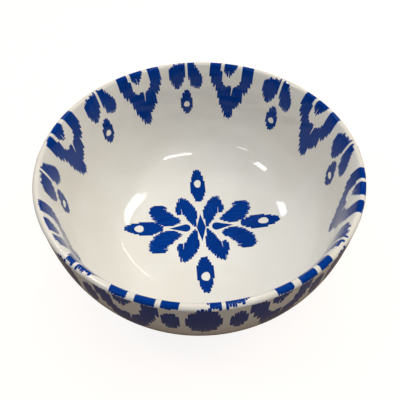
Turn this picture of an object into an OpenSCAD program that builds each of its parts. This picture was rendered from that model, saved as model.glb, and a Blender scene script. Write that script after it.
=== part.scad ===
// Large porcelain serving bowl with a printed blue border and a centre medallion.
// Origin: centre of the circle on which the foot ring stands. +Z points up through the mouth.
// The -Y side is the front. Every height is measured from the table.

/* [Bowl] */
// Diameter across the lip
rim_d = 254; // [200:1:320]
// Height from the table to the top of the lip
bowl_h = 112; // [90:1:140]
// Thickness of the clay wall at the lip
wall_t = 4.6; // [3.6:0.1:6.4]
// Thickness of the clay floor
floor_t = 5; // [4:0.1:8]
// Radius at which the floor runs into the wall
floor_r = 61; // [48:0.5:76]
// Depth of the dish across the floor
floor_dip = 3; // [0.5:0.1:5]
// How far the inside of the wall flares out towards the lip
flare_w = 15; // [4:0.5:18]
// How far down the inside that flare carries
flare_h = 34; // [24:0.5:44]
// How far the floor's slope carries into the inside's curve
wall_belly = 78; // [70:0.5:80]
// How far the outside of the wall keeps straight down below the lip
outer_straight = 23; // [16:0.5:30]
// How far the floor's slope carries into the outside's curve
outer_belly = 71; // [66:0.5:76]

/* [Foot ring] */
// Diameter across the foot ring where it stands
foot_d = 118; // [90:1:145]
// Width of the flat face that the bowl stands on
foot_face_w = 3.2; // [2:0.1:6]
// Depth of the recess inside the foot ring
foot_h = 4; // [2.5:0.1:8]
// How far each side of the foot ring leans from its face to the bowl
foot_lean = 1.6; // [0.5:0.1:3]
// Width of the rounded edge beside the standing face
foot_edge = 0.8; // [0.4:0.1:1.2]

/* [Glaze] */
// Thickness of the clear glaze
glaze_t = 0.3; // [0.15:0.05:0.6]
// Height of the bare clay band at the foot ring's base
bare_h = 1.4; // [1.2:0.1:2.2]

/* [Transfers] */
// Thickness of a fired colour transfer
transfer_t = 0.15; // [0.1:0.05:0.3]
// Gap between neighbouring motifs of the border
motif_gap = 9.5; // [6:0.5:14]
// Gap between two leaves that share a stem
stem_w = 2.5; // [1.5:0.1:5]
// How far a frayed stripe may run short or long
fray = 1.1; // [0:0.1:1.8]

/* [Inside border] */
// Arrows around the border, each followed by a pair of leaves
border_n = 8; // [6:1:9]
// Turn of the border about the bowl's axis, in degrees
border_turn = 5.3; // [-22:0.1:22]
// Width of an arrow at the lip
arrow_w = 44; // [34:0.5:52]
// Length of an arrow down the wall
arrow_l = 56; // [45:0.5:66]
// Width of the notch in an arrow
notch_w = 22; // [17:0.5:28]
// Depth of the notch in an arrow
notch_l = 17; // [16:0.5:28]
// Width of the small core that hangs in the notch
core_w = 13; // [8:0.5:16]
// Length of the small core
core_l = 8.5; // [7:0.5:14]
// Length of a leaf of the pair
leaf_l = 25; // [22:0.5:38]
// Width of the eye drop below the leaves
eye_w = 13; // [10:0.5:17]
// Length of the eye drop
eye_l = 27; // [18:0.5:32]
// Gap between the leaves and the eye drop
eye_gap = 2; // [2:0.5:6]
// Diameter of the white pupil in an eye drop
pupil_d = 7; // [4:0.1:9]

/* [Outside border] */
// Turn of the outside border from the inside one, in degrees
outside_turn = -4.2; // [-22:0.1:22]
// Gap between the lip and the outside border
outside_drop = 5; // [4:0.5:16]
// Width of the frayed plume between two outside arrows
plume_w = 22; // [14:0.5:26]
// Length of the frayed plume
plume_l = 33; // [24:0.5:40]
// Width of the small feather on each side of a plume
feather_w = 10; // [5:0.5:11]
// Length of the small feather
feather_l = 26; // [16:0.5:32]

/* [Medallion] */
// Turn of the medallion, in degrees
medallion_turn = 3.4; // [-45:0.1:45]
// Width of the centre diamond
diamond_w = 8; // [4:0.5:9]
// Length of the centre diamond
diamond_l = 30; // [18:0.5:32]
// Distance from the middle to the near end of a teardrop
tear_start = 11; // [8:0.5:14]
// Length of a teardrop
tear_l = 20; // [12:0.5:22]
// Width of a teardrop
tear_w = 8; // [5:0.5:9]
// Distance from the middle to the near end of a petal
petal_start = 5.5; // [5:0.5:9]
// Length of a petal
petal_l = 37; // [24:0.5:44]
// Width of a petal
petal_w = 15.5; // [8:0.5:16]
// Angle of a steep petal from the short axis of the medallion, in degrees
steep_angle = 29; // [26:0.5:32]
// Angle of a flat petal from the long axis of the medallion, in degrees
flat_angle = 24; // [22:0.5:26]
// Distance from the middle to the near end of a flat petal
flat_start = 16.5; // [15:0.5:24]
// Distance from the middle to the near end of a medallion eye drop
drop_start = 36; // [31:0.5:42]
// Length of a medallion eye drop
drop_l = 37; // [24:0.5:42]
// Width of a medallion eye drop
drop_w = 15; // [10:0.5:18]

/* [Hidden] */
$fn = 128;

// Steps along the wall, the floor and each half of the lip
wall_steps = 18;
floor_steps = 6;
lip_steps = 4;
// Steps round the blunt end of a teardrop
tear_steps = 16;
// Widths of the stripes that the motifs are woven from
stripe_w = 3.4;
fine_stripe_w = 2.4;
// How far a motif's cutter reaches past the skin that it cuts
cutter_over = 30;
// An arrow's sides as shares of its length: the least, and how full its taper is
arrow_side = 0.2;
arrow_full = 1.12;
// How much of that taper is used up at an arrow's sides
arrow_taper = 0.98;
// How far an arrow core's point runs past its length, as a share of it
core_point = 1.1;
// A leaf's length at its sides, and where across its width its top starts to fall away, as shares
leaf_side = 0.5;
leaf_shoulder = 0.55;
leaf_blunt = 0.6;
// How blunt the ends of drops, plumes and leaves are: 1 is a point and less is rounder
tip_blunt = 0.5;
near_blunt = 0.7;
// The slit that runs on from an arrow's notch
slit_w = 1.2;
slit_start = 0.8;
slit_end = 1.4;
// How far along an eye drop its pupil is
pupil_at = 0.58;
// Shares of a drop's length by which its sides are shorter than its middle
drop_near_cut = 0.36;
drop_far_cut = 0.3;
// The same for the near side of a plume
plume_near_cut = 0.22;
// A petal's near sides start at this share of its length, and its far side ends at this one
petal_near = 0.62;
petal_far = 0.76;
// How sharply a petal's near end narrows, how far its tip leans aside and how wide its bulge is
petal_narrow = 1.3;
petal_lean = 0.3;
petal_spread = 1.4;
// How much further below the lip the feathers start than the plumes
feather_drop = 1.7;
// Size of the rounded corner inside the recess
recess_round = 1.6;
// Height of the medallion's cutter as a share of the bowl's
floor_cutter = 0.6;

clay_r = rim_d / 2 - glaze_t;
clay_top = bowl_h - glaze_t;
floor_slope = atan(2 * floor_dip / floor_r);
flare_angle = atan(flare_w / flare_h);
floor_mid = foot_h + floor_t;
floor_edge = floor_mid + floor_dip;
foot_r = foot_d / 2;
foot_join_r = foot_r + foot_lean + 1;
foot_in_r = foot_r - foot_face_w - 2 * foot_edge;
pitch = 180 / border_n;
pitch_w = 2 * PI * (rim_d / 2 - wall_t) / (2 * border_n);
pair_w = 2 * pitch_w - arrow_w - 2 * motif_gap;
leaf_w = (pair_w - stem_w) / 2;

// A point of the cubic curve through a to d, at t from 0 to 1
function curve(a, b, c, d, t) =
  pow(1 - t, 3) * a + 3 * pow(1 - t, 2) * t * b + 3 * (1 - t) * t * t * c + pow(t, 3) * d;

// The unit normal on the left of a path at its point i
function left_normal(path, i) =
  let(
    a = path[max(i - 1, 0)],
    b = path[min(i + 1, len(path) - 1)],
    d = (b - a) / norm(b - a)
  ) [-d[1], d[0]];

// A path moved sideways to its left, by a distance that runs from t0 to t1
function beside(path, t0, t1) =
  let(n = len(path) - 1) [for (i = [0:n]) path[i] + left_normal(path, i) * (t0 + (t1 - t0) * i / n)];

// Repeatable unevenness between -1 and 1 for stripe i of motif k
function uneven(i, k) = sin(i * 137.5 + k * 71.3);

function backwards(path) = [for (i = [len(path) - 1:-1:0]) path[i]];
function on_axis(path) = [for (i = [0:len(path) - 1]) i == 0 ? [0, path[i][1]] : path[i]];

// The inside of the clay, from the middle of the floor to the lip
floor_path = [for (i = [0:floor_steps]) let(s = i / floor_steps)
  [floor_r * s, floor_mid + floor_dip * s * s]];
wall_foot = [floor_r, floor_edge];
lip_mid = [clay_r, clay_top] - wall_t / 2 * [1, 1];

// A wall's path from the floor to its top. belly and rise are the lengths of the curve's two handles.
function wall_curve(belly, top, rise) =
  let(below = wall_foot + belly * [cos(floor_slope), sin(floor_slope)])
  [for (i = [1:wall_steps]) curve(wall_foot, below, top - rise, top, i / wall_steps)];

inner_path = concat(floor_path, wall_curve(wall_belly, lip_point(180 - flare_angle), [flare_w, flare_h]));

// The lip is a half round from the wall's inside over the crest to its outside
function lip_point(a) = lip_mid + wall_t / 2 * [cos(a), sin(a)];
lip_inner = [for (i = [1:lip_steps]) lip_point(180 - flare_angle - (90 - flare_angle) * i / lip_steps)];
lip_outer = [for (i = [0:lip_steps]) lip_point(90 - 90 * i / (lip_steps + 1))];
lip_path = concat(lip_inner, [for (i = [1:lip_steps]) lip_outer[i]]);

// The outside doesn't follow the flare, so the wall is thickest half way up. It stops at the foot ring.
outer_base = concat(floor_path, wall_curve(outer_belly, lip_point(180), [0, outer_straight]));
outer_full = backwards(beside(outer_base, -floor_t, -wall_t));
outer_path = [for (p = outer_full) if (p[0] > foot_join_r) p];
outer_end = outer_path[len(outer_path) - 1];

// The foot ring, from the glaze line down its outer side and up into the recess
foot_bare_r = foot_r + foot_lean * bare_h / foot_h;
foot_path = [
  [foot_r + foot_edge * 0.3, foot_edge * 0.5],
  [foot_r - foot_edge * 0.6, 0],
  [foot_r - foot_edge * 0.6 - foot_face_w, 0],
  [foot_r - foot_edge * 1.5 - foot_face_w, foot_edge * 0.5]
];
foot_out_line = [foot_bare_r, bare_h];
foot_in_line = [foot_in_r - foot_lean * bare_h / foot_h, bare_h];
recess_corner = [foot_in_r - foot_lean, foot_h];
recess_path = [
  foot_in_line,
  recess_corner + recess_round * [0.22, -0.56],
  recess_corner + recess_round * [-0.31, -0.16],
  recess_corner - [recess_round, 0],
  [0, foot_h]
];

glazed_path = concat(inner_path, lip_path, outer_path, [foot_out_line]);
inner_skin_path = concat(inner_path, lip_inner);
outer_skin_path = concat(lip_outer, outer_path);

// A turned skin on the left of a path, from t0 to t1 above it
module skin(path, t0, t1) {
  low = on_axis(beside(path, t0, t0));
  high = on_axis(beside(path, t1, t1));
  rotate_extrude()
    polygon(concat(low, backwards(high)));
}

module inner_transfer_skin() {
  skin(inner_skin_path, glaze_t, glaze_t + transfer_t);
}

// The outside skin starts on the lip, so its first point isn't on the axis
module outer_transfer_skin() {
  low = beside(outer_skin_path, glaze_t, glaze_t);
  high = beside(outer_skin_path, glaze_t + transfer_t, glaze_t + transfer_t);
  rotate_extrude()
    polygon(concat(low, backwards(high)));
}

// A closed outline of n stripes across the width from -w to w. Each stripe runs from low(x)
// to high(x), and its ends are uneven by the fraying.
function striped(n, w, low, high, k, low_fray, high_fray) =
  let(
    s = 2 * w / n,
    tops = [for (i = [0:n - 1]) high(-w + (i + 0.5) * s) + high_fray * uneven(i, k)],
    ends = [for (i = [0:n - 1]) low(-w + (i + 0.5) * s) + low_fray * uneven(i, k + 3)]
  )
  concat(
    [for (i = [0:n - 1], e = [0, 1]) [-w + (i + e) * s, tops[i]]],
    [for (i = [n - 1:-1:0], e = [1, 0]) [-w + (i + e) * s, ends[i]]]
  );

function stripes(w, each_w) = max(3, 2 * round(w / each_w / 2) + 1);

// Half a leaf's bulge: 1 in the middle of its width and 0 at its sides
function bulge(x, w, power) = pow(max(0, 1 - pow(abs(x) / w, 2)), power);

module arrow(k) {
  w = arrow_w / 2;
  notch = notch_w / 2;
  taper = function (x) arrow_full * sqrt(1 - abs(x) / w * arrow_taper);
  low = function (x) -arrow_l * max(arrow_side, min(1, taper(x)));
  high = function (x) abs(x) > notch ? 0 : -notch_l * sqrt(1 - pow(abs(x) / (notch * 1.1), 3));
  difference() {
    polygon(striped(stripes(arrow_w, stripe_w), w, low, high, k, fray, 0));
    translate([-slit_w / 2, -notch_l * slit_end])
      square([slit_w, notch_l * (slit_end - slit_start)]);
  }
}

module arrow_core(k) {
  w = core_w / 2;
  low = function (x) -core_l * (core_point - abs(x) / w);
  polygon(striped(stripes(core_w, fine_stripe_w), w, low, function (x) 0, k, fray, 0));
}

// One leaf of a pair, on the +X side of the stem and hanging from y = 0
module hanging_leaf(k) {
  w = leaf_w / 2;
  low = function (x) -leaf_l * (leaf_side + (1 - leaf_side) * bulge(x, w, leaf_blunt));
  high = function (x) -max(0, x - w * leaf_shoulder);
  translate([stem_w / 2 + w, 0])
    polygon(striped(stripes(leaf_w, stripe_w), w, low, high, k, fray, 0));
}

module leaf_pair(k) {
  hanging_leaf(k);
  mirror([1, 0])
    hanging_leaf(k + 1);
}

// An eye drop with its near end at the origin, lying along -Y
module eye_drop(w, l, k) {
  half = w / 2;
  low = function (x) -l + l * drop_far_cut * (1 - bulge(x, half, tip_blunt));
  high = function (x) -l * drop_near_cut * (1 - bulge(x, half, near_blunt));
  difference() {
    polygon(striped(stripes(w, fine_stripe_w), half, low, high, k, fray, fray));
    translate([0, -l * pupil_at])
      circle(d = pupil_d);
  }
}

// A plume or feather that is frayed at both ends, hanging from y = 0
module plume(w, l, k) {
  half = w / 2;
  low = function (x) -l + l * drop_far_cut * (1 - bulge(x, half, tip_blunt));
  high = function (x) -l * plume_near_cut * (1 - bulge(x, half, tip_blunt));
  polygon(striped(stripes(w, fine_stripe_w), half, low, high, k, fray, fray));
}

// A petal with its narrow end at the origin, lying along +Y
module petal(k) {
  half = petal_w / 2;
  low = function (x) petal_l * petal_near * pow(abs(x) / half, petal_narrow);
  lean = half * petal_lean;
  spread = half * petal_spread;
  high = function (x) petal_l * (petal_far + (1 - petal_far) * bulge(x + lean, spread, 1));
  polygon(striped(stripes(petal_w, fine_stripe_w), half, low, high, k, fray / 2, fray));
}

// Drawn flat, then pushed through the wall at an angle round the bowl, below the lip by drop
module on_wall(angle, drop) {
  rotate([0, 0, angle])
    translate([foot_r, 0, bowl_h - drop])
      rotate([90, 0, 90])
        linear_extrude(clay_r - foot_r + cutter_over)
          children();
}

// Drawn flat, then pushed through the floor
module on_floor() {
  linear_extrude(bowl_h * floor_cutter)
    rotate([0, 0, medallion_turn])
      children();
}

function arrow_angle(i) = 90 + border_turn + pitch * (2 * i + 1);
function leaf_angle(i) = 90 + border_turn + pitch * 2 * i;

module clay_body() {
  color("ivory")
    rotate_extrude()
      polygon(concat(inner_path, lip_path, outer_path, [foot_out_line], foot_path, recess_path));
}

module glaze_coat() {
  color("whitesmoke")
    skin(glazed_path, 0, glaze_t);
}

module foot_recess_glaze() {
  color("whitesmoke")
    rotate_extrude()
      polygon(concat(recess_path, backwards(recess_glaze_path)));
}

// The recess's glaze follows its clay, and thins out to nothing at the glaze line
recess_glaze_path = [for (i = [0:len(recess_path) - 1])
  i == 0 ? recess_path[0] - [glaze_t * 0.4, 0]
    : i == len(recess_path) - 1 ? [0, foot_h - glaze_t]
    : recess_path[i] + left_normal(recess_path, i) * glaze_t];

module medallion_diamond() {
  color("mediumblue")
    intersection() {
      inner_transfer_skin();
      on_floor()
        polygon([[diamond_w / 2, 0], [0, diamond_l / 2], [-diamond_w / 2, 0], [0, -diamond_l / 2]]);
    }
}

// A teardrop is round towards the middle of the medallion and pointed away from it
module teardrop() {
  r = tear_w / 2;
  reach = tear_l - r;
  a = acos(r / reach);
  polygon(concat([[reach, 0]], [for (i = [0:tear_steps]) let(t = a + (360 - 2 * a) * i / tear_steps)
    r * [cos(t), sin(t)]]));
}

module medallion_teardrops() {
  color("mediumblue")
    intersection() {
      inner_transfer_skin();
      for (side = [0, 180])
        on_floor()
          rotate([0, 0, side])
            translate([tear_start + tear_w / 2, 0])
              teardrop();
    }
}

module medallion_eye_drops() {
  color("mediumblue")
    intersection() {
      inner_transfer_skin();
      for (i = [0:3])
        on_floor()
          rotate([0, 0, 90 * i])
            translate([0, -drop_start])
              eye_drop(drop_w, drop_l, i);
    }
}

module medallion_steep_petals() {
  color("mediumblue")
    intersection() {
      inner_transfer_skin();
      for (side = [0, 180], turn = [-1, 1])
        on_floor()
          rotate([0, 0, side + turn * steep_angle])
            translate([0, petal_start])
              petal(side / 90 + turn);
    }
}

module medallion_flat_petals() {
  color("mediumblue")
    intersection() {
      inner_transfer_skin();
      for (side = [90, 270], turn = [-1, 1])
        on_floor()
          rotate([0, 0, side + turn * flat_angle])
            translate([0, flat_start])
              petal(side / 90 + turn);
    }
}

module inside_arrows() {
  color("mediumblue")
    intersection() {
      inner_transfer_skin();
      for (i = [0:border_n - 1])
        on_wall(arrow_angle(i), 0)
          arrow(i);
    }
}

module inside_arrow_cores() {
  color("mediumblue")
    intersection() {
      inner_transfer_skin();
      for (i = [0:border_n - 1])
        on_wall(arrow_angle(i), 0)
          arrow_core(i);
    }
}

module inside_leaf_pairs() {
  color("mediumblue")
    intersection() {
      inner_transfer_skin();
      for (i = [0:border_n - 1])
        on_wall(leaf_angle(i), 0)
          leaf_pair(2 * i);
    }
}

module inside_eye_drops() {
  color("mediumblue")
    intersection() {
      inner_transfer_skin();
      for (i = [0:border_n - 1])
        on_wall(leaf_angle(i), leaf_l + eye_gap)
          eye_drop(eye_w, eye_l, i);
    }
}

module outside_arrows() {
  color("mediumblue")
    intersection() {
      outer_transfer_skin();
      for (i = [0:border_n - 1])
        on_wall(arrow_angle(i) + outside_turn, outside_drop)
          arrow(i + 4);
    }
}

module outside_arrow_cores() {
  color("mediumblue")
    intersection() {
      outer_transfer_skin();
      for (i = [0:border_n - 1])
        on_wall(arrow_angle(i) + outside_turn, outside_drop)
          arrow_core(i + 4);
    }
}

module outside_plumes() {
  color("mediumblue")
    intersection() {
      outer_transfer_skin();
      for (i = [0:border_n - 1])
        on_wall(leaf_angle(i) + outside_turn, outside_drop)
          plume(plume_w, plume_l, i);
    }
}

module outside_feathers() {
  color("mediumblue")
    intersection() {
      outer_transfer_skin();
      for (i = [0:border_n - 1], side = [-1, 1])
        on_wall(leaf_angle(i) + outside_turn, outside_drop * feather_drop)
          translate([side * ((plume_w + feather_w) / 2 + stem_w * 2), 0])
            plume(feather_w, feather_l, 2 * i + side);
    }
}

clay_body();
glaze_coat();
foot_recess_glaze();
medallion_diamond();
medallion_teardrops();
medallion_eye_drops();
medallion_steep_petals();
medallion_flat_petals();
inside_arrows();
inside_arrow_cores();
inside_leaf_pairs();
inside_eye_drops();
outside_arrows();
outside_arrow_cores();
outside_plumes();
outside_feathers();
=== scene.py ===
"""The looks of a large porcelain serving bowl: clay, clear glaze and blue prints fired on it.

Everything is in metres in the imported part's own frame: +Z is up through the mouth, -Y is the front,
and the bowl stands on z = 0.
"""

import math
import random

import bpy
import numpy as np
from mathutils import Matrix, Vector


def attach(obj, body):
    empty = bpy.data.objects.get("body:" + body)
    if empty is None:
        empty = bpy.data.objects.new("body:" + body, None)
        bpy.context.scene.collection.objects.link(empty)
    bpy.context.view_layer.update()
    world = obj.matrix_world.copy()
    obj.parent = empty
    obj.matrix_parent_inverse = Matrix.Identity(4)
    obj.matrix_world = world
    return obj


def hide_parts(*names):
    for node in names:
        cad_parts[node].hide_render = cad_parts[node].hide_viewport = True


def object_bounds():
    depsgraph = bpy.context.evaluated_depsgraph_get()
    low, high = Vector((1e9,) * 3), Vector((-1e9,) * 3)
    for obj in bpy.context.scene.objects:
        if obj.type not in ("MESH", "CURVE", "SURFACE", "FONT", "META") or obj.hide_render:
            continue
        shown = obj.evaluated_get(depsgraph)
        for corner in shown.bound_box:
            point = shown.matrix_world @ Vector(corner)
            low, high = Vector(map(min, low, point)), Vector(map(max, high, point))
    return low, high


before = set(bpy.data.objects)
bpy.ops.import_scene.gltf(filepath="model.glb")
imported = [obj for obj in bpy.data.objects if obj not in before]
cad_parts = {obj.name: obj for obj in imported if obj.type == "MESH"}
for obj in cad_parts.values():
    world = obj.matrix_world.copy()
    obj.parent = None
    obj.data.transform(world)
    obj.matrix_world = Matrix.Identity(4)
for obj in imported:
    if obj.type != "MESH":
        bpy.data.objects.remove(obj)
cad_low, cad_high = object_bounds()
MM = 0.001

# ---------------------------------------------------------------- sizes of the bowl

GLAZE = 0.3 * MM
# The glaze's edge thins to this
GLAZE_END = 0.3 * GLAZE
WALL = 4.6 * MM
FLOOR = 5.0 * MM
FLOOR_DIP = 3.0 * MM
FLOOR_R = 61.0 * MM
FLARE_W = 15.0 * MM
FLARE_H = 34.0 * MM
FLARE_ANGLE = math.atan2(FLARE_W, FLARE_H)
WALL_BELLY = 78.0 * MM
# The outside doesn't follow the inside's flare, so the wall is thickest about three quarters of the way up
OUTER_STRAIGHT = 23.0 * MM
OUTER_BELLY = 71.0 * MM
FOOT_H = 4.0 * MM
FOOT_R = 59.0 * MM
FOOT_FACE = 3.2 * MM
FOOT_EDGE = 0.8 * MM
FOOT_INNER_R = FOOT_R - 2 * FOOT_EDGE - FOOT_FACE
FOOT_LEAN = 1.6 * MM
BARE_H = 1.4 * MM
# The wall eases into the foot ring from this far outside it
FOOT_EASE = 5.0 * MM
# and meets the ring at this share of its height
FOOT_TOP = 0.9
# The hollow's corner lies this share of the way down to there
EASE_DROP = 0.28
# Width of the bend between the foot ring and the flat of the recess
RECESS_BEND = 3.0 * MM

# The lip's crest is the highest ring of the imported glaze
CREST_Z = cad_high.z
glaze_top = [v.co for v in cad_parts["glaze_coat"].data.vertices if v.co.z > CREST_Z - 0.01 * MM]
CREST_R = sum(math.hypot(p.x, p.y) for p in glaze_top) / len(glaze_top)

CLAY_R = CREST_R + WALL / 2
CLAY_TOP = CREST_Z - GLAZE

# Fineness of the turned pieces
TURNS = 256
FLOOR_STEPS = 30
WALL_STEPS = 64
LIP_STEPS = 16
EASE_STEPS = 9
EDGE_STEPS = 5
BEND_STEPS = 10
RECESS_STEPS = 14
# Corners nearer to each other than this are one, and edges flatter than this are shaded smooth
MERGE = 0.002 * MM
SMOOTH = math.radians(40)

# ---------------------------------------------------------------- sizes of the prints

BORDER_N = 8
BORDER_TURN = 5.3
PITCH = 180 / BORDER_N
# A print is a film on the glaze
FILM = 0.04 * MM
# Prints are cut across at this spacing, so that they bend smoothly, and finely where they cross the lip
SCORE = 2.4 * MM
LIP_SCORE = 0.45 * MM
# How far the thin blue reaches up a print's lower ends, and the width of the threads it is measured on
WORN_REACH = 7.0 * MM
WORN_THREAD = 1.6 * MM
# Units of a print's flat map to a metre of its drawing
MAP_SCALE = 10


# ---------------------------------------------------------------- the bowl's section


def curve(a, b, c, d, t):
    """A point of the cubic curve through a to d."""
    u = 1 - t
    return u**3 * a + 3 * u * u * t * b + 3 * u * t * t * c + t**3 * d


def left_normals(path):
    """Unit normals on the left of a path of (radius, height) points."""
    along = np.gradient(path, axis=0)
    along /= np.linalg.norm(along, axis=1)[:, None]
    return np.stack([-along[:, 1], along[:, 0]], axis=1)


def lip_points(angles):
    """Points of the half round lip, by their angle about its middle."""
    middle = np.array([CLAY_R - WALL / 2, CLAY_TOP - WALL / 2])
    return middle + WALL / 2 * np.stack([np.cos(angles), np.sin(angles)], axis=1)


def floor_and_wall(belly, top, rise):
    """From the middle of the floor to the top of the wall. belly and rise are its curve's two handles."""
    slope = math.atan(2 * FLOOR_DIP / FLOOR_R)
    middle = FOOT_H + FLOOR
    share = np.linspace(0, 1, FLOOR_STEPS + 1)[:, None]
    floor = np.concatenate([FLOOR_R * share, middle + FLOOR_DIP * share**2], axis=1)
    foot = floor[-1]
    t = np.linspace(0, 1, WALL_STEPS + 1)[1:, None]
    wall = curve(foot, foot + belly * np.array([math.cos(slope), math.sin(slope)]), top - rise, top, t)
    return np.concatenate([floor, wall])


def clay_inside():
    top = lip_points(np.array([math.pi - FLARE_ANGLE]))[0]
    return floor_and_wall(WALL_BELLY, top, np.array([FLARE_W, FLARE_H]))


def clay_lip():
    """The lip from its inside over the crest to its outside, without its two ends."""
    half = LIP_STEPS // 2
    inner = np.linspace(math.pi - FLARE_ANGLE, math.pi / 2, half + 1)[1:]
    outer = np.linspace(math.pi / 2, 0, half + 2)[1:-1]
    return lip_points(np.concatenate([inner, outer]))


def clay_outside():
    """The outside of the wall, from the lip down to the foot ring."""
    base = floor_and_wall(OUTER_BELLY, lip_points(np.array([math.pi]))[0], np.array([0, OUTER_STRAIGHT]))
    thick = FLOOR + (WALL - FLOOR) * np.linspace(0, 1, len(base))[:, None]
    outside = (base - left_normals(base) * thick)[::-1]
    wall = outside[outside[:, 0] > FOOT_R + FOOT_LEAN + FOOT_EASE]
    # A small hollow eases the wall into the foot ring, near the ring's top
    ring_top = np.array([FOOT_R + FOOT_LEAN * FOOT_TOP, FOOT_H * FOOT_TOP])
    corner_z = wall[-1][1] + (ring_top[1] - wall[-1][1]) * EASE_DROP
    corner = np.array([FOOT_R + FOOT_LEAN * (2 - FOOT_TOP), corner_z])
    t = np.linspace(0, 1, EASE_STEPS)[1:, None]
    fillet = (1 - t) ** 2 * wall[-1] + 2 * (1 - t) * t * corner + t**2 * ring_top
    return np.concatenate([wall, fillet])


CLAY_IN = clay_inside()
CLAY_OVER = np.concatenate([CLAY_IN, clay_lip(), clay_outside()])
GLAZE_LINE = np.array([FOOT_R + FOOT_LEAN * BARE_H / FOOT_H, BARE_H])
GLAZED = np.concatenate([CLAY_OVER, [GLAZE_LINE]])

# The glaze's surface, with the distance along it from the middle of the floor
SURFACE = GLAZED + left_normals(GLAZED) * GLAZE
SURFACE[0] = (0, GLAZED[0][1] + GLAZE)
NORMALS = left_normals(SURFACE)
ALONG = np.concatenate([[0], np.cumsum(np.linalg.norm(np.diff(SURFACE, axis=0), axis=1))])
CREST_ALONG = ALONG[np.argmax(SURFACE[:, 1])]
# The section's points up to here run steadily outwards
LOW_COUNT = len(CLAY_IN) - WALL_STEPS // 3


def foot_points():
    """The bare foot ring, from the glaze line outside to the glaze line in the recess."""
    angle = np.linspace(0, -math.pi / 2, EDGE_STEPS)[:, None]
    outer_mid = np.array([FOOT_R - FOOT_EDGE, FOOT_EDGE])
    inner_mid = np.array([FOOT_INNER_R + FOOT_EDGE, FOOT_EDGE])
    round_out = outer_mid + FOOT_EDGE * np.concatenate([np.cos(angle), np.sin(angle)], axis=1)
    round_in = inner_mid + FOOT_EDGE * np.concatenate([-np.cos(angle), np.sin(angle)], axis=1)[::-1]
    return np.concatenate([round_out, round_in])


def recess_points():
    """The clay of the recess, from the glaze line to the middle."""
    start = np.array([FOOT_INNER_R - FOOT_LEAN * BARE_H / FOOT_H, BARE_H])
    corner = np.array([FOOT_INNER_R - FOOT_LEAN, FOOT_H])
    t = np.linspace(0, 1, BEND_STEPS)[:, None]
    bend = (1 - t) ** 2 * start + 2 * (1 - t) * t * corner + t**2 * (corner - np.array([RECESS_BEND, 0]))
    share = np.linspace(0, 1, RECESS_STEPS)[1:, None]
    flat = bend[-1] * (1 - share) + np.array([0, FOOT_H]) * share
    return np.concatenate([bend, flat])


# ---------------------------------------------------------------- turning the clay and the glaze


def deselect():
    bpy.ops.object.select_all(action="DESELECT")


def only(piece):
    deselect()
    piece.select_set(True)
    bpy.context.view_layer.objects.active = piece


def turned(name, section):
    """An open section of (radius, height) points spun once round the bowl's axis."""
    deselect()
    bpy.ops.mesh.primitive_circle_add(vertices=len(section), radius=MM, fill_type="NOTHING")
    piece = bpy.context.object
    piece.name = piece.data.name = name
    for corner, (radius, height) in zip(piece.data.vertices, section):
        corner.co = (radius, 0, height)
    # The circle's last edge would close the section, so it goes
    bpy.ops.object.mode_set(mode="EDIT")
    bpy.ops.mesh.select_mode(type="EDGE")
    bpy.ops.mesh.select_all(action="DESELECT")
    bpy.ops.object.mode_set(mode="OBJECT")
    for edge in piece.data.edges:
        edge.select = set(edge.vertices) == {0, len(section) - 1}
    bpy.ops.object.mode_set(mode="EDIT")
    bpy.ops.mesh.delete(type="EDGE")
    bpy.ops.mesh.select_mode(type="VERT")
    bpy.ops.mesh.select_all(action="SELECT")
    bpy.ops.mesh.spin(steps=TURNS, dupli=False, angle=math.tau, center=(0, 0, 0), axis=(0, 0, 1))
    bpy.ops.mesh.select_all(action="SELECT")
    bpy.ops.mesh.remove_doubles(threshold=MERGE)
    bpy.ops.mesh.normals_make_consistent(inside=False)
    bpy.ops.object.mode_set(mode="OBJECT")
    only(piece)
    bpy.ops.object.shade_smooth_by_angle(angle=SMOOTH)
    return piece


def make_clay():
    section = np.concatenate([CLAY_OVER, [GLAZE_LINE], foot_points(), recess_points()])
    clay = turned("clay_body", section)
    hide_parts("clay_body")
    return clay


def make_glaze():
    """A skin that thins at the glaze line."""
    under = GLAZED.copy()
    over = SURFACE.copy()
    over[-1] = under[-1] + np.array([GLAZE_END, 0])
    glaze = turned("glaze_coat", np.concatenate([over, under[::-1]]))
    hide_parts("glaze_coat")
    return glaze


def make_recess_glaze():
    under = recess_points()
    over = under + left_normals(under) * GLAZE
    over[0] = under[0] - np.array([GLAZE_END, 0])
    over[-1] = (0, FOOT_H - GLAZE)
    glaze = turned("foot_recess_glaze", np.concatenate([under[::-1], over]))
    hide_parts("foot_recess_glaze")
    return glaze


# ---------------------------------------------------------------- drawing a print flat


def keyed(*points):
    """A function through a few (place, height) points in millimetres."""
    places = [p[0] * MM for p in points]
    heights = [p[1] * MM for p in points]
    return lambda x: float(np.interp(x, places, heights))


def threads(left, right, width, dice):
    """The edges of the uneven threads across a print."""
    count = max(3, round((right - left) / width))
    steps = [dice.uniform(0.6, 1.4) for _ in range(count)]
    scale = (right - left) / sum(steps)
    edges = [left]
    for step in steps:
        edges.append(edges[-1] + step * scale)
    return edges


# How deep threads are split from each other: mostly a little, and now and then a lot
SPLITS = (0.3, 0.5, 0.8, 1.6)


def ends(edges, end, uneven, split, lean, side, dice):
    """The ends of the threads along one side of a print. side is 1 at the top and -1 below."""
    points = []
    middle_of_all = (edges[0] + edges[-1]) / 2
    for left, right in zip(edges, edges[1:]):
        middle = (left + right) / 2
        wide = right - left
        reach = end(middle) + uneven * dice.uniform(-1, 1)
        cut = side * split * dice.choice(SPLITS)
        # Each thread's tip lies in its middle, or towards one side where the print leans
        tip = 0.5 + 0.3 * max(-1, min(1, lean * (middle - middle_of_all) / (2 * MM)))
        points.append((left, reach - cut * (0.4 + tip)))
        points.append((left + wide * max(0.06, tip - 0.3), reach))
        points.append((left + wide * min(0.94, tip + 0.3), reach))
        points.append((right, reach - cut * (1.4 - tip)))
    return points


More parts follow.
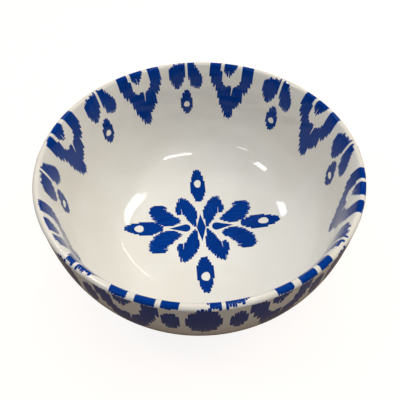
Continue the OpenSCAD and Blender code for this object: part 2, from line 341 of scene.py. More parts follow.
def frayed(left, right, low, high, dice, thread=1.9, low_fray=0.9, high_fray=0.9, split=1.2, lean=0.0):
    """A closed outline woven of threads that run from low(x) to high(x). Frays are in millimetres."""
    edges = threads(left, right, thread * MM, dice)
    top = ends(edges, high, high_fray * MM, split * high_fray * MM, lean, 1, dice)
    bottom = ends(edges, low, low_fray * MM, split * low_fray * MM, lean, -1, dice)
    return top + bottom[::-1]


def plate(name, outline):
    """A thin flat plate of an outline, drawn from a circle's corners."""
    deselect()
    bpy.ops.mesh.primitive_circle_add(vertices=len(outline), radius=MM, fill_type="NGON")
    piece = bpy.context.object
    piece.name = name
    for corner, (x, y) in zip(piece.data.vertices, outline):
        corner.co = (x, y, 0)
    bpy.ops.object.mode_set(mode="EDIT")
    bpy.ops.mesh.select_all(action="SELECT")
    bpy.ops.mesh.extrude_region_move(TRANSFORM_OT_translate={"value": (0, 0, FILM)})
    bpy.ops.mesh.select_all(action="SELECT")
    bpy.ops.mesh.normals_make_consistent(inside=False)
    bpy.ops.object.mode_set(mode="OBJECT")
    return piece


def cut_out(piece, outline):
    """Cuts a smaller outline out of a plate."""
    cutter = plate("cutter", outline)
    for vert in cutter.data.vertices:
        vert.co.z = vert.co.z * 3 - FILM
    cut = piece.modifiers.new("cut", "BOOLEAN")
    cut.operation = "DIFFERENCE"
    cut.solver = "EXACT"
    cut.object = cutter
    only(piece)
    bpy.ops.object.modifier_apply(modifier=cut.name)
    bpy.data.objects.remove(cutter)


def oval(x, y, half_w, half_l, dice, count=26):
    """A slightly uneven oval outline."""
    wobble = [dice.uniform(0, math.tau) for _ in range(3)]
    points = []
    for i in range(count):
        a = math.tau * i / count
        grow = 1 + 0.06 * math.sin(2 * a + wobble[0]) + 0.05 * math.sin(3 * a + wobble[1])
        points.append((x + half_w * grow * math.cos(a), y + half_l * grow * math.sin(a)))
    return points


def sliver(x, tip, mouth, wide, slant=0.0):
    """A thin pointed slit along the threads, from its mouth to its tip. All in millimetres."""
    end = x + slant
    points = [(x - wide / 2, mouth), (x + wide / 2, mouth), (end + wide * 0.1, tip), (end - wide * 0.1, tip)]
    return [(u * MM, v * MM) for u, v in points]


def corners_of(piece):
    """A piece's corners as an array."""
    flat = np.empty(len(piece.data.vertices) * 3)
    piece.data.vertices.foreach_get("co", flat)
    return flat.reshape(-1, 3)


def set_corners(piece, corners):
    piece.data.vertices.foreach_set("co", np.ascontiguousarray(corners).ravel())
    piece.data.update()


def score(piece, fine_from=None):
    """Cuts a flat plate along and across, so that it can bend, and finely above fine_from for the lip."""
    only(piece)
    corners = corners_of(piece)
    bpy.ops.object.mode_set(mode="EDIT")
    for axis, across in ((0, Vector((1, 0, 0))), (1, Vector((0, 1, 0)))):
        low, high = corners[:, axis].min(), corners[:, axis].max()
        count = int((high - low) / SCORE)
        # Uneven shares, so that a cut seldom falls on one of the outline's corners
        places = [low + (high - low) * (i - 0.37) / (count + 0.3) for i in range(1, count + 1)]
        if axis == 1 and fine_from is not None:
            places = [p for p in places if p < fine_from]
            places += list(np.arange(fine_from, high, LIP_SCORE))
        for place in places:
            bpy.ops.mesh.select_all(action="SELECT")
            bpy.ops.mesh.bisect(plane_co=across * float(place), plane_no=across)
    bpy.ops.mesh.select_all(action="SELECT")
    bpy.ops.mesh.quads_convert_to_tris(quad_method="BEAUTY", ngon_method="BEAUTY")
    bpy.ops.object.mode_set(mode="OBJECT")


def lay_flat_map(piece):
    """Keeps the flat drawing's place on the piece, so that the threads' streaks follow it."""
    flat = piece.data.uv_layers.new(name="flat")
    corners = corners_of(piece)
    loops = np.empty(len(piece.data.loops), dtype=np.int32)
    piece.data.loops.foreach_get("vertex_index", loops)
    flat.data.foreach_set("uv", np.ascontiguousarray(corners[loops, :2] * MAP_SCALE).ravel())


def wear_ends(piece, most):
    """Notes how near each corner is to the lower ends of a print's threads, where the blue is thin."""
    corners = corners_of(piece)
    columns = np.round(corners[:, 0] / WORN_THREAD).astype(int)
    foot = {c: corners[columns == c, 1].min() for c in set(columns)}
    near = np.array([1 - (y - foot[c]) / WORN_REACH for c, y in zip(columns, corners[:, 1])])
    worn = piece.data.attributes.new("worn", "FLOAT", "POINT")
    worn.data.foreach_set("value", most * np.clip(near, 0, 1))


# ---------------------------------------------------------------- laying a print on the bowl


def on_surface(along, lift, angle):
    """Points at distances along the glaze's section, lifted off it, at angles round the axis."""
    radius = np.interp(along, ALONG, SURFACE[:, 0]) + lift * np.interp(along, ALONG, NORMALS[:, 0])
    height = np.interp(along, ALONG, SURFACE[:, 1]) + lift * np.interp(along, ALONG, NORMALS[:, 1])
    return np.stack([radius * np.cos(angle), radius * np.sin(angle), height], axis=1)


def lay_on_wall(piece, side, turned_to, lean, drop):
    """Wraps a flat print on the wall. y = 0 is the lip's crest, and side is -1 inside and 1 outside."""
    x, y, lift = corners_of(piece).T
    tilt = math.radians(lean)
    across = x * math.cos(tilt) - y * math.sin(tilt)
    down = x * math.sin(tilt) + y * math.cos(tilt) - drop * MM
    along = CREST_ALONG - side * down
    radius = np.interp(along, ALONG, SURFACE[:, 0])
    set_corners(piece, on_surface(along, lift, math.radians(turned_to) + side * across / radius))


def lay_on_floor(piece):
    """Presses a flat print straight down on the floor or the low part of the wall."""
    x, y, lift = corners_of(piece).T
    along = np.interp(np.hypot(x, y), SURFACE[:LOW_COUNT, 0], ALONG[:LOW_COUNT])
    set_corners(piece, on_surface(along, lift, np.arctan2(y, x)))


def turn(piece, degrees):
    piece.data.transform(Matrix.Rotation(math.radians(degrees), 4, "Z"))


def copy_of(piece):
    twin = piece.copy()
    twin.data = piece.data.copy()
    bpy.context.collection.objects.link(twin)
    return twin


def joined(name, pieces):
    """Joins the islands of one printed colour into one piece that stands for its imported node."""
    deselect()
    for piece in pieces:
        piece.select_set(True)
    bpy.context.view_layer.objects.active = pieces[0]
    bpy.ops.object.join()
    whole = pieces[0]
    whole.name = whole.data.name = name
    bpy.ops.object.mode_set(mode="EDIT")
    bpy.ops.mesh.select_all(action="SELECT")
    bpy.ops.mesh.normals_make_consistent(inside=False)
    bpy.ops.object.mode_set(mode="OBJECT")
    bpy.ops.object.shade_smooth_by_angle(angle=SMOOTH)
    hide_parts(name)
    return whole


# How each hand-laid print of the inside border sits: its turn from its even place and its lean
# in degrees, and how far down the wall it slipped in millimetres
ARROWS_LAID = [(0.8, 3, 0.6), (2.1, 5.5, 2.4), (3.4, 2, 5), (1.2, 0, 0),
               (3.4, 0, 0), (-1.1, 0, 1), (-1.0, -2, 1.2), (1.2, 0.5, 1.2)]
LEAVES_LAID = [(0.2, 0, 0.5), (-0.2, 0, 2.5), (1.3, 0, 5), (0.6, 0, 0),
               (0.8, 0, -1.2), (-0.6, 0, 2), (-0.9, 0, 3), (-0.8, -1, 3)]
EYES_LAID = [(0.2, 0, 0.8), (-0.2, 0, 2.5), (1.3, 0, 2.4), (0.6, 0, 0),
             (0.8, 0, 0), (-0.6, 0, 0), (-0.4, 0, -0.8), (-0.8, -1, 2.4)]
# The outside border is laid evenly, turned a little from the inside one
OUTSIDE_LAID = [(0, 0, 0)] * BORDER_N
OUTSIDE_TURN = -4.2


def ring_of(name, flat_pieces, side, angle_of, laid, fine_from=None, wear=0.3):
    """Lays a set of flat prints on the wall all round the bowl."""
    for piece in flat_pieces:
        score(piece, fine_from)
        lay_flat_map(piece)
        wear_ends(piece, wear)
    islands = []
    for i, (nudge, lean, drop) in enumerate(laid):
        for piece in flat_pieces:
            twin = copy_of(piece)
            lay_on_wall(twin, side, angle_of(i) + nudge, lean, drop)
            islands.append(twin)
    for piece in flat_pieces:
        bpy.data.objects.remove(piece)
    return joined(name, islands)


def arrow_angle(i):
    return 90 + BORDER_TURN + PITCH * (2 * i + 1)


def leaf_angle(i):
    return 90 + BORDER_TURN + PITCH * 2 * i


# ---------------------------------------------------------------- the prints' shapes, in millimetres

# The inside border runs a little over the lip, and the outside one starts just below it
OVER = 3.4
OUTSIDE_START = -3.6
# Below this the prints no longer meet the lip
LIP_END = -6 * MM


def arrow(name, dice, top=OVER):
    """A wide V whose stepped sides run down to a blunt tip, with a round notch between its arms."""
    low = keyed((-22.2, -11), (-20.6, -14), (-18.2, -21.5), (-15.6, -23), (-13, -34), (-10.7, -43),
                (-7.6, -51.5), (-5, -57.5), (-3, -60), (1, -61), (3.4, -56), (5.3, -47.5), (8.2, -43),
                (10.8, -40), (12.8, -34), (14.8, -27), (18, -22.5), (20, -16), (21.8, -11.5))
    high = keyed((-11.4, top), (-11.3, -1), (-9.8, -7.4), (-8.8, -16), (-6.8, -19.5), (-4.6, -21.5),
                 (-2.5, -20.5), (-0.6, -19.5), (2, -22.5), (4.5, -20.5), (7.5, -18.5), (9.4, -14), (10.2, -8),
                 (10.7, top))
    outline = frayed(-22.2 * MM, 21.8 * MM, low, high, dice,
                     thread=2.1, low_fray=1.0, high_fray=0.5, split=1.6, lean=0.5)
    piece = plate(name, outline)
    cut_out(piece, sliver(2.0, -31.5, -21, 1.5, slant=-1.2))
    return piece


def arrow_core(name, dice, top=OVER):
    """The small wedge in an arrow's notch, nearer to its left arm."""
    low = keyed((-7.8, -6.5), (-6, -7.4), (-4.5, -11.5), (-2.6, -12), (-0.8, -10.5), (0.8, -7.4),
                (3.2, -4.8), (5, -1))
    high = keyed((0, top))
    piece = plate(name, frayed(-7.9 * MM, 5 * MM, low, high, dice, thread=1.7, high_fray=0.2, split=1.4))
    cut_out(piece, sliver(-2.6, -5, -13.5, 0.8, slant=-0.2))
    return piece


def left_leaf(name, dice):
    """The broad leaf of a pair, on the left of the stem."""
    low = keyed((-17.8, -14), (-16.5, -18), (-14.5, -22), (-12.6, -25.5), (-11, -28), (-8.5, -26),
                (-6, -22.5), (-4, -19), (-2.4, -13.5), (-1.3, -9))
    high = keyed((-17.8, -5.7), (-16, -3), (-14, -1.5), (-12, 0), (-9, 1.2), (-4, 2))
    outline = frayed(-17.8 * MM, -1.3 * MM, low, high, dice,
                     thread=1.9, low_fray=1.3, high_fray=1.5, split=2.0)
    return plate(name, outline)


def right_leaf(name, dice):
    """The slim leaf of a pair, which leans away from the stem."""
    low = keyed((1.1, -11), (2.6, -20), (4, -23.5), (7, -24), (9.5, -28), (11.5, -27), (13.5, -24),
                (15.6, -20))
    high = keyed((1.1, 2), (6, 1.2), (8, -0.5), (10, -3), (12, -6.5), (14, -11), (15.6, -13.5))
    outline = frayed(1.1 * MM, 15.6 * MM, low, high, dice,
                     thread=1.7, low_fray=1.3, high_fray=1.2, split=2.0)
    return plate(name, outline)


def eye_drop(name, half, top, foot, pupil_at, pupil_w, pupil_l, dice):
    """A drop with a round white pupil. It narrows to its top and is blunt below."""
    length = top - foot
    low = keyed((-half, foot + length * 0.32), (-half * 0.6, foot + length * 0.12), (-half * 0.35, foot),
                (half * 0.35, foot), (half * 0.6, foot + length * 0.1), (half, foot + length * 0.3))
    high = keyed((-half, top - length * 0.45), (-half * 0.75, top - length * 0.24), (-half * 0.3, top),
                 (half * 0.35, top), (half * 0.7, top - length * 0.17), (half, top - length * 0.45))
    outline = frayed(-half * MM, half * MM, low, high, dice,
                     thread=1.6, low_fray=0.7, high_fray=0.7, split=1.3)
    piece = plate(name, outline)
    cut_out(piece, oval(0, pupil_at * MM, pupil_w * MM, pupil_l * MM, dice))
    return piece


def make_inside_border():
    dice = random.Random(11)
    arrows = ring_of("inside_arrows", [arrow("arrow", dice)], -1, arrow_angle, ARROWS_LAID, LIP_END)
    cores = ring_of("inside_arrow_cores", [arrow_core("core", dice)], -1, arrow_angle, ARROWS_LAID, LIP_END)
    pair = [left_leaf("leaf", dice), right_leaf("leaf", dice)]
    leaves = ring_of("inside_leaf_pairs", pair, -1, leaf_angle, LEAVES_LAID, LIP_END, wear=0.9)
    eye = eye_drop("eye", 6.3, -27, -56.5, -44.5, 3.3, 3.2, dice)
    eye.data.transform(Matrix.Translation((-1.2 * MM, 0, 0)))
    eyes = ring_of("inside_eye_drops", [eye], -1, leaf_angle, EYES_LAID)
    return [arrows, cores, leaves, eyes]


def plume(name, x, top, foot, half, dice):
    """A plume that is frayed at both ends."""
    length = top - foot
    low = keyed((-half, foot + length * 0.4), (-half * 0.6, foot + length * 0.12), (0, foot),
                (half * 0.6, foot + length * 0.1), (half, foot + length * 0.36))
    high = keyed((-half, top - length * 0.4), (-half * 0.75, top - length * 0.12), (0, top),
                 (half * 0.7, top - length * 0.1), (half, top - length * 0.36))
    outline = frayed(-half * MM, half * MM, low, high, dice,
                     thread=1.9, low_fray=1.6, high_fray=1.6, split=1.8)
    return plate(name, [(u + x * MM, y) for u, y in outline])


def make_outside_border():
    dice = random.Random(23)

    def arrow_place(i):
        return arrow_angle(i) + OUTSIDE_TURN

    def leaf_place(i):
        return leaf_angle(i) + OUTSIDE_TURN

    big = arrow("arrow", dice, 0)
    core = arrow_core("core", dice, 0)
    for piece in (big, core):
        piece.data.transform(Matrix.Translation((0, OUTSIDE_START * MM, 0)))
    arrows = ring_of("outside_arrows", [big], 1, arrow_place, OUTSIDE_LAID, LIP_END)
    cores = ring_of("outside_arrow_cores", [core], 1, arrow_place, OUTSIDE_LAID, LIP_END)
    whole = plume("plume", -0.6, -1.4, -40, 11.6, dice)
    plumes = ring_of("outside_plumes", [whole], 1, leaf_place, OUTSIDE_LAID, LIP_END, wear=0.7)
    sides = [plume("feather", side * 21.5, -8, -36, 5.8, dice) for side in (-1, 1)]
    feathers = ring_of("outside_feathers", sides, 1, leaf_place, OUTSIDE_LAID)
    return [arrows, cores, plumes, feathers]


# The medallion's turn, and where its middle lies
MEDALLION_TURN = 3.7
MEDALLION_AT = (1.4 * MM, -2.2 * MM)
# Half the diamond's width, and its reach above and below its middle
DIAMOND = (4.6, 16.2, 16.4)
# Each eye drop's turn in degrees, its outer end, its inner end and its pupil, all by their distance from
# the middle, and how far it lies above the axis
DROPS = [(0, 74, 31.5, 55, 0), (90, 75.5, 37.5, 61.5, 0.9),
         (180, 72, 34, 55, 0), (270, 78.5, 39.5, 62.5, 1.1)]
# How far the teardrops and the petals lie above the axis, and how far out the flat petals lie
TEAR_UP = 0.2
STEEP_UP = -0.5
FLAT_UPPER_UP = 1.2
FLAT_LOWER_UP = -0.2
FLAT_OUT = 0.8


def steep_petal(name, dice):
    """A petal that stands beside the diamond, broad and frayed at its far end."""
    low = keyed((3, 19), (3.7, 10.5), (5, 1.5), (7, 1), (9, 4), (10.8, 6.5), (13, 9), (15.2, 14), (17, 16.5),
                (20, 17), (23, 16.5), (25, 21))
    high = keyed((3, 20), (4, 23), (5.5, 26), (8.4, 31), (12.7, 35.8), (18, 38.5), (21.5, 38), (23.4, 31),
                 (25.2, 24))
    outline = frayed(3 * MM, 25.2 * MM, low, high, dice, thread=1.5, low_fray=0.5, high_fray=0.9, split=1.6)
    piece = plate(name, outline)
    cut_out(piece, sliver(18.2, 24, 14, 1.0, slant=0.8))
    cut_out(piece, sliver(21, 33, 41, 0.8, slant=-0.6))
    return piece


def flat_petal(name, dice):
    """A petal that lies beside a teardrop, drawn upright: y runs outwards from the diamond."""
    low = keyed((2, 27), (3.4, 24), (6, 19), (8.5, 18.5), (11, 21), (14, 25), (17, 28), (20, 32), (22, 33),
                (23.5, 31.5), (25, 33), (27.5, 37))
    high = keyed((2, 34), (4, 41), (7, 45), (10, 47.5), (14, 49.5), (18, 51), (22, 51.5), (25, 50.5),
                 (27.5, 46))
    outline = frayed(2 * MM, 27.5 * MM, low, high, dice, thread=1.5, low_fray=0.8, high_fray=1.1, split=1.9)
    piece = plate(name, outline)
    cut_out(piece, sliver(22.6, 37, 28, 1.0, slant=0.5))
    return piece


# Straight sides of a teardrop's round end
TEAR_STEPS = 24


def teardrop(name, start, length, half):
    """Round towards the middle and pointed away from it, along +Y. All in millimetres."""
    reach = length - half
    a = math.acos(half / reach)
    points = []
    for i in range(TEAR_STEPS + 1):
        t = a + (math.tau - 2 * a) * i / TEAR_STEPS
        points.append((half * math.sin(t) * MM, (start + half + half * math.cos(t)) * MM))
    return plate(name, [(0, (start + half + reach) * MM)] + points)


def mirrored(piece):
    piece.data.transform(Matrix.Scale(-1, 4, (1, 0, 0)))
    return piece


def set_in_medallion(piece, degrees, up=0.0):
    """Turns an upright flat print about the medallion's middle and puts it in the medallion's place."""
    lay_flat_map(piece)
    turn(piece, degrees)
    piece.data.transform(Matrix.Translation((0, up * MM, 0)))
    turn(piece, MEDALLION_TURN)
    piece.data.transform(Matrix.Translation((*MEDALLION_AT, 0)))
    score(piece)
    lay_on_floor(piece)
    return piece


def make_medallion():
    dice = random.Random(5)
    half, above, below = (size * MM for size in DIAMOND)
    diamond = set_in_medallion(plate("diamond", [(half, 0), (0, above), (-half, 0), (0, -below)]), 0)
    tears, drops, steep, flat = [], [], [], []
    for degrees in (-90, 90):
        tears.append(set_in_medallion(teardrop("tear", 10.8, 21.2, 4.4), degrees, up=TEAR_UP))
        for flip in (False, True):
            piece = flat_petal("petal", dice)
            piece.data.transform(Matrix.Translation((0, FLAT_OUT * MM, 0)))
            up = FLAT_UPPER_UP if flip == (degrees < 0) else FLAT_LOWER_UP
            flat.append(set_in_medallion(mirrored(piece) if flip else piece, degrees, up=up))
    for degrees, far, near, pupil, up in DROPS:
        drop = eye_drop("drop", 8.0, far, near, pupil, 3.8, 4.8, dice)
        drops.append(set_in_medallion(drop, degrees, up=up))
    for degrees in (0, 180):
        for flip in (False, True):
            piece = steep_petal("petal", dice)
            steep.append(set_in_medallion(mirrored(piece) if flip else piece, degrees, up=STEEP_UP))
    return [
        joined("medallion_diamond", [diamond]),
        joined("medallion_teardrops", tears),
        joined("medallion_eye_drops", drops),
        joined("medallion_steep_petals", steep),
        joined("medallion_flat_petals", flat),
    ]


# ---------------------------------------------------------------- the finishes' shared effects


def add(tree, kind, **settings):
    """Adds a node with some of its settings made."""
    made = tree.nodes.new(kind)
    for name, value in settings.items():
        setattr(made, name, value)
    return made


def give(made, **values):
    """Sets a node's plain inputs by their names, with _ for a space."""
    for name, value in values.items():
        made.inputs[name.replace("_", " ")].default_value = value
    return made


def wire(tree, source, target):
    tree.links.new(source, target)


def effect(name, inputs, outputs):
    """A shader node group with its sockets made."""
    tree = bpy.data.node_groups.new(name, "ShaderNodeTree")
    for socket, kind, value in inputs:
        made = tree.interface.new_socket(name=socket, in_out="INPUT", socket_type=kind)
        if value is not None:
            made.default_value = value
    for socket, kind in outputs:
        tree.interface.new_socket(name=socket, in_out="OUTPUT", socket_type=kind)
    return tree, add(tree, "NodeGroupInput"), add(tree, "NodeGroupOutput")


def noise_at(tree, vector, scale, detail=2.0, rough=0.5):
    made = give(add(tree, "ShaderNodeTexNoise"), Scale=scale, Detail=detail, Roughness=rough)
    wire(tree, vector, made.inputs["Vector"])
    return made.outputs["Fac"]


def ramp(tree, value, low, high, to_low=0.0, to_high=1.0):
    """Maps a value smoothly from one range to another."""
    made = add(tree, "ShaderNodeMapRange", interpolation_type="SMOOTHSTEP")
    give(made, From_Min=low, From_Max=high, To_Min=to_low, To_Max=to_high)
    wire(tree, value, made.inputs["Value"])
    return made.outputs["Result"]


def maths(tree, operation, first, second):
    made = add(tree, "ShaderNodeMath", operation=operation)
    for socket, value in zip(made.inputs, (first, second)):
        if isinstance(value, (int, float)):
            socket.default_value = value
        else:
            wire(tree, value, socket)
    return made.outputs[0]


def blended(tree, share, first, second):
    """Mixes two colours. Each is a socket or a plain colour."""
    made = add(tree, "ShaderNodeMix", data_type="RGBA")
    for name, value in (("Factor", share), ("A", first), ("B", second)):
        sockets = [s for s in made.inputs if s.name == name and s.enabled]
        if isinstance(value, (tuple, float)):
            sockets[0].default_value = value
        else:
            wire(tree, value, sockets[0])
    return [s for s in made.outputs if s.enabled][0]


def glazed_waves():
    """The slow unevenness of a fired glaze: broad swells, faint rings from turning and a fine orange peel."""
    tree, given, out = effect(
        "glazed_waves",
        [("Place", "NodeSocketVector", None)],
        [("Normal", "NodeSocketVector")],
    )
    place = given.outputs["Place"]
    swell = noise_at(tree, place, 22, 1.5)
    parts = add(tree, "ShaderNodeSeparateXYZ")
    wire(tree, place, parts.inputs[0])
    squares = maths(tree, "ADD", maths(tree, "POWER", parts.outputs["X"], 2.0),
                    maths(tree, "POWER", parts.outputs["Y"], 2.0))
    ring_place = add(tree, "ShaderNodeCombineXYZ")
    wire(tree, maths(tree, "SQRT", squares, 0.0), ring_place.inputs["X"])
    wire(tree, parts.outputs["Z"], ring_place.inputs["Y"])
    rings = noise_at(tree, ring_place.outputs[0], 120, 1.0)
    peel = noise_at(tree, place, 420, 1.0)
    height = maths(tree, "ADD", swell, maths(tree, "MULTIPLY", rings, 0.10))
    height = maths(tree, "ADD", height, maths(tree, "MULTIPLY", peel, 0.012))
    bump = give(add(tree, "ShaderNodeBump"), Strength=1.0, Distance=0.00045)
    wire(tree, height, bump.inputs["Height"])
    wire(tree, bump.outputs["Normal"], out.inputs["Normal"])
    return tree


def fired_marks():
    """Masks for a fired surface: broad pooling of the glaze, sparse fine specks and faint wiped smears."""
    tree, given, out = effect(
        "fired_marks",
        [("Place", "NodeSocketVector", None)],
        [("Pooling", "NodeSocketFloat"), ("Specks", "NodeSocketFloat"), ("Smears", "NodeSocketFloat")],
    )
    place = given.outputs["Place"]
    wire(tree, ramp(tree, noise_at(tree, place, 16, 3.0), 0.35, 0.68), out.inputs["Pooling"])
    cells = give(add(tree, "ShaderNodeTexVoronoi"), Scale=150.0)
    wire(tree, place, cells.inputs["Vector"])
    dots = ramp(tree, cells.outputs["Distance"], 0.035, 0.075, 1.0, 0.0)
    some = ramp(tree, noise_at(tree, place, 61, 0.0), 0.60, 0.66)
    wire(tree, maths(tree, "MULTIPLY", dots, some), out.inputs["Specks"])
    wire(tree, ramp(tree, noise_at(tree, place, 45, 4.0, 0.7), 0.45, 0.75), out.inputs["Smears"])
    return tree


def woven_streaks():
    """Streaks that run along a print's threads, from its own flat map."""
    tree, given, out = effect(
        "woven_streaks",
        [("Flat", "NodeSocketVector", None), ("Worn", "NodeSocketFloat", 0.0)],
        [("Shade", "NodeSocketFloat"), ("Gaps", "NodeSocketFloat")],
    )
    along = give(add(tree, "ShaderNodeMapping"), Scale=(105.0, 6.5, 1.0))
    wire(tree, given.outputs["Flat"], along.inputs["Vector"])
    wire(tree, ramp(tree, noise_at(tree, along.outputs[0], 1.0, 2.0, 0.6), 0.25, 0.75), out.inputs["Shade"])
    thin = give(add(tree, "ShaderNodeMapping"), Scale=(150.0, 9.0, 1.0), Location=(3.0, 7.0, 0.0))
    wire(tree, given.outputs["Flat"], thin.inputs["Vector"])
    lines = ramp(tree, noise_at(tree, thin.outputs[0], 1.0, 1.0), 0.46, 0.68)
    wire(tree, maths(tree, "MULTIPLY", lines, given.outputs["Worn"]), out.inputs["Gaps"])
    return tree


# ---------------------------------------------------------------- finishes

# The glaze over the prints mirrors less than the bare glaze does
GLAZE_IOR = 1.52
PRINT_IOR = 1.27
# The glaze is thin over this much of the lip's crest, and up to this height above the foot
CREST_THIN = (1.1 * MM, 0.1 * MM)
FOOT_THIN = (2.2 * MM, 4.5 * MM)
# The standing face is rubbed up to this height
RUBBED_H = 0.5 * MM


def new_material(name):
    material = bpy.data.materials.new(name)
    material.use_nodes = True
    tree = material.node_tree
    return material, tree, tree.nodes["Principled BSDF"]


def placed(tree, group, **feeds):
    made = add(tree, "ShaderNodeGroup", node_tree=group)
    for name, source in feeds.items():
        wire(tree, source, made.inputs[name])
    return made


def height_of(tree, place):
    parts = add(tree, "ShaderNodeSeparateXYZ")
    wire(tree, place, parts.inputs[0])
    return parts.outputs["Z"]


def white_glaze(waves, marks):
    """Warm white, thick and glossy, thinner over the lip's crest and beside the foot."""
    material, tree, shader = new_material("warm_white_glaze")
    place = add(tree, "ShaderNodeTexCoord").outputs["Object"]
    fired = placed(tree, marks, Place=place)
    colour = blended(tree, fired.outputs["Pooling"], (0.845, 0.800, 0.705, 1), (0.880, 0.845, 0.765, 1))
    height = height_of(tree, place)
    crest = ramp(tree, height, CREST_Z - CREST_THIN[0], CREST_Z - CREST_THIN[1], 0.0, 0.4)
    foot = ramp(tree, height, *FOOT_THIN, 0.55, 0.0)
    colour = blended(tree, maths(tree, "MAXIMUM", crest, foot), colour, (0.70, 0.60, 0.47, 1))
    specks = maths(tree, "MULTIPLY", fired.outputs["Specks"], 0.55)
    colour = blended(tree, specks, colour, (0.25, 0.19, 0.13, 1))
    wire(tree, colour, shader.inputs["Base Color"])
    wire(tree, ramp(tree, fired.outputs["Smears"], 0.0, 1.0, 0.035, 0.085), shader.inputs["Roughness"])
    shader.inputs["IOR"].default_value = GLAZE_IOR
    wire(tree, placed(tree, waves, Place=place).outputs["Normal"], shader.inputs["Normal"])
    return material


def fired_blue(waves, marks):
    """Cobalt print, streaked along its threads and as glossy as the glaze that it is fired into."""
    material, tree, shader = new_material("fired_cobalt_print")
    place = add(tree, "ShaderNodeTexCoord").outputs["Object"]
    flat = add(tree, "ShaderNodeUVMap", uv_map="flat").outputs["UV"]
    worn = add(tree, "ShaderNodeAttribute", attribute_name="worn").outputs["Fac"]
    streaks = placed(tree, woven_streaks(), Flat=flat, Worn=worn)
    fired = placed(tree, marks, Place=place)
    colour = blended(tree, streaks.outputs["Shade"], (0.0014, 0.030, 0.200, 1), (0.0024, 0.050, 0.290, 1))
    pooled = maths(tree, "MULTIPLY", fired.outputs["Pooling"], 0.35)
    colour = blended(tree, pooled, colour, (0.0012, 0.022, 0.170, 1))
    colour = blended(tree, streaks.outputs["Gaps"], colour, (0.10, 0.19, 0.40, 1))
    wire(tree, colour, shader.inputs["Base Color"])
    wire(tree, ramp(tree, fired.outputs["Smears"], 0.0, 1.0, 0.04, 0.09), shader.inputs["Roughness"])
    shader.inputs["IOR"].default_value = PRINT_IOR
    wire(tree, placed(tree, waves, Place=place).outputs["Normal"], shader.inputs["Normal"])
    return material


def bare_clay(marks):
    """Unglazed clay on the foot ring: fine grit, sponged smears and grey rub marks where it stands."""
    material, tree, shader = new_material("bare_fired_clay")
    place = add(tree, "ShaderNodeTexCoord").outputs["Object"]
    fired = placed(tree, marks, Place=place)
    grain = noise_at(tree, place, 1400, 3.0, 0.7)
    colour = blended(tree, ramp(tree, grain, 0.3, 0.7), (0.56, 0.485, 0.385, 1), (0.70, 0.635, 0.54, 1))
    smears = maths(tree, "MULTIPLY", fired.outputs["Smears"], 0.4)
    colour = blended(tree, smears, colour, (0.76, 0.71, 0.63, 1))
    rubbed = maths(tree, "MULTIPLY", ramp(tree, height_of(tree, place), 0.0, RUBBED_H, 1.0, 0.0),
                   ramp(tree, noise_at(tree, place, 210, 4.0, 0.7), 0.45, 0.62))
    colour = blended(tree, maths(tree, "MULTIPLY", rubbed, 0.6), colour, (0.24, 0.22, 0.20, 1))
    wire(tree, colour, shader.inputs["Base Color"])
    wire(tree, ramp(tree, grain, 0.2, 0.8, 0.7, 0.92), shader.inputs["Roughness"])
    bump = give(add(tree, "ShaderNodeBump"), Strength=0.6, Distance=0.00012)
    wire(tree, grain, bump.inputs["Height"])
    wire(tree, bump.outputs["Normal"], shader.inputs["Normal"])
    return material


def dress(piece, material):
    piece.data.materials.clear()
    piece.data.materials.append(material)
    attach(piece, "root")


# ---------------------------------------------------------------- the room

# Brightness of the floor to the camera, besides the light that falls on it
FLOOR_GLOW = 0.87
FLOOR_SIZE = 12
# A hair under the foot, so that the two faces don't coincide
FLOOR_Z = -0.2 * MM


def make_floor():
    """A pale floor. Its glow shows to the camera only, so it doesn't light the bowl from below."""
    deselect()
    bpy.ops.mesh.primitive_plane_add(size=FLOOR_SIZE, location=(0, 0, FLOOR_Z))
    floor = bpy.context.object
    floor.name = "floor"
    material, tree, shader = new_material("pale_floor")
    give(shader, Base_Color=(0.25, 0.18, 0.12, 1), Roughness=0.95, Emission_Color=(0.985, 0.99, 1, 1))
    shader.inputs["Specular IOR Level"].default_value = 0.0
    seen = add(tree, "ShaderNodeLightPath").outputs["Is Camera Ray"]
    wire(tree, maths(tree, "MULTIPLY", seen, FLOOR_GLOW), shader.inputs["Emission Strength"])
    floor.data.materials.append(material)


# Height of the lamps that the glaze mirrors
LAMP_Z = 1.3


def make_lamp(name, size, place, brightness, colour=(1, 1, 1), aim=None, spin=0.0, mirrored_in_glaze=True):
    """A flat lamp that faces down, or aim. brightness is how bright its face is beside a white wall's 1."""
    lamp = bpy.data.lights.new(name, "AREA")
    lamp.shape = "RECTANGLE"
    lamp.size, lamp.size_y = size
    lamp.energy = brightness * math.pi * size[0] * size[1]
    lamp.color = colour
    holder = bpy.data.objects.new(name, lamp)
    facing = Matrix.Rotation(math.radians(spin), 4, "Z")
    if aim:
        facing = (Vector(aim) - Vector(place)).to_track_quat("-Z", "Y").to_matrix().to_4x4()
    holder.matrix_world = Matrix.Translation(place) @ facing
    holder.visible_glossy = mirrored_in_glaze
    bpy.context.collection.objects.link(holder)


def make_world():
    """A quiet room, brighter overhead than round the walls, behind a pale backdrop."""
    world = bpy.data.worlds.new("room")
    world.use_nodes = True
    tree = world.node_tree
    parts = add(tree, "ShaderNodeSeparateXYZ")
    wire(tree, add(tree, "ShaderNodeTexCoord").outputs["Generated"], parts.inputs[0])
    overhead = ramp(tree, parts.outputs["Z"], 0.0, 0.9)
    colour = blended(tree, overhead, (0.04, 0.04, 0.04, 1), (0.50, 0.54, 0.60, 1))
    seen = add(tree, "ShaderNodeLightPath").outputs["Is Camera Ray"]
    wire(tree, blended(tree, seen, colour, (0.94, 0.94, 0.94, 1)), tree.nodes["Background"].inputs["Color"])
    tree.nodes["Background"].inputs["Strength"].default_value = 1.0
    # The glaze mirrors the lamps and windows, and not the dim room round them
    world.cycles_visibility.glossy = False
    bpy.context.scene.world = world


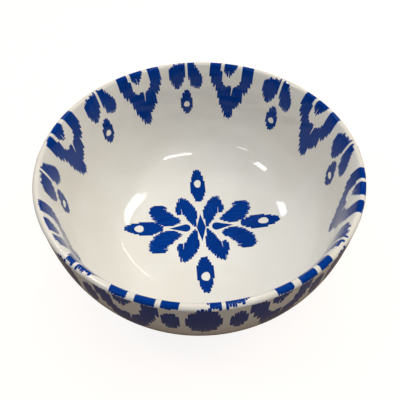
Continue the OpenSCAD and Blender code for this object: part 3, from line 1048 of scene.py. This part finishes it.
def make_lights():
    rim = (0, 0, CREST_Z)
    # Broad soft lights that the glaze doesn't mirror
    for name, size, place, brightness, colour, aim in (
        ("overhead_soft", 0.9, (0.0, 0.1, 1.5), 1.1, (1.0, 0.98, 0.94), None),
        ("back_soft", 1.2, (-0.2, 1.3, 1.4), 1.0, (1.0, 0.985, 0.95), rim),
        ("side_soft", 1.0, (1.2, 0.2, 1.2), 3.0, (1.0, 0.94, 0.83), rim),
    ):
        make_lamp(name, (size, size), place, brightness, colour, aim, mirrored_in_glaze=False)
    # The small ceiling lamps and windows that it does
    make_lamp("ceiling_strip", (0.24, 0.12), (0.19, -0.02, LAMP_Z), 10, spin=8)
    make_lamp("left_strip", (0.25, 0.20), (-0.68, 0.05, LAMP_Z), 18, spin=30)
    make_lamp("left_slit", (0.36, 0.06), (-0.80, -0.70, LAMP_Z), 12, spin=-32)
    make_lamp("window", (0.17, 0.12), (0.140, 0.772, LAMP_Z), 17, (1.0, 0.98, 0.92), spin=-30)
    make_lamp("blue_window", (0.24, 0.12), (-0.44, 0.78, LAMP_Z), 11, (0.88, 0.9, 1.0))
    make_lamp("window_edge", (0.22, 0.02), (0.155, 1.105, LAMP_Z), 12, (1.0, 0.97, 0.9), spin=-41)


# Angles in degrees. The distance is in radii of the rim, from the middle of the mouth
CAMERA_ELEVATION = 45.08
CAMERA_ROLL = 0.66
CAMERA_PAN = 0.15
CAMERA_TILT = 7.30
CAMERA_DISTANCE = 2.304
CAMERA_LENS = 33.34
CAMERA_SENSOR = 36


def make_camera():
    """Looks down into the bowl from the front."""
    elevation = math.radians(CAMERA_ELEVATION)
    back = Vector((0, -math.cos(elevation), math.sin(elevation)))
    side = Vector((1, 0, 0))
    up = back.cross(side)
    basis = Matrix((side, up, back))
    roll = Matrix.Rotation(math.radians(CAMERA_ROLL), 3, "Z")
    pan = Matrix.Rotation(math.radians(CAMERA_PAN), 3, "Y")
    tilt = Matrix.Rotation(math.radians(CAMERA_TILT), 3, "X")
    to_camera = tilt @ pan @ roll @ basis
    rim_r = CREST_R + WALL / 2 + GLAZE
    place = back * CAMERA_DISTANCE * rim_r + Vector((0, 0, CREST_Z))
    camera = bpy.data.objects.new("camera", bpy.data.cameras.new("camera"))
    camera.data.lens = CAMERA_LENS
    camera.data.sensor_width = CAMERA_SENSOR
    camera.data.clip_start = 0.01
    camera.matrix_world = Matrix.Translation(place) @ to_camera.transposed().to_4x4()
    bpy.context.collection.objects.link(camera)
    bpy.context.scene.camera = camera


# ---------------------------------------------------------------- putting it together

make_camera()
waves = glazed_waves()
marks = fired_marks()
glaze_finish = white_glaze(waves, marks)
dress(make_clay(), bare_clay(marks))
dress(make_glaze(), glaze_finish)
dress(make_recess_glaze(), glaze_finish)
blue = fired_blue(waves, marks)
for print_piece in make_medallion() + make_inside_border() + make_outside_border():
    dress(print_piece, blue)
make_floor()
make_world()
make_lights()
bpy.context.scene.view_settings.view_transform = "Standard"
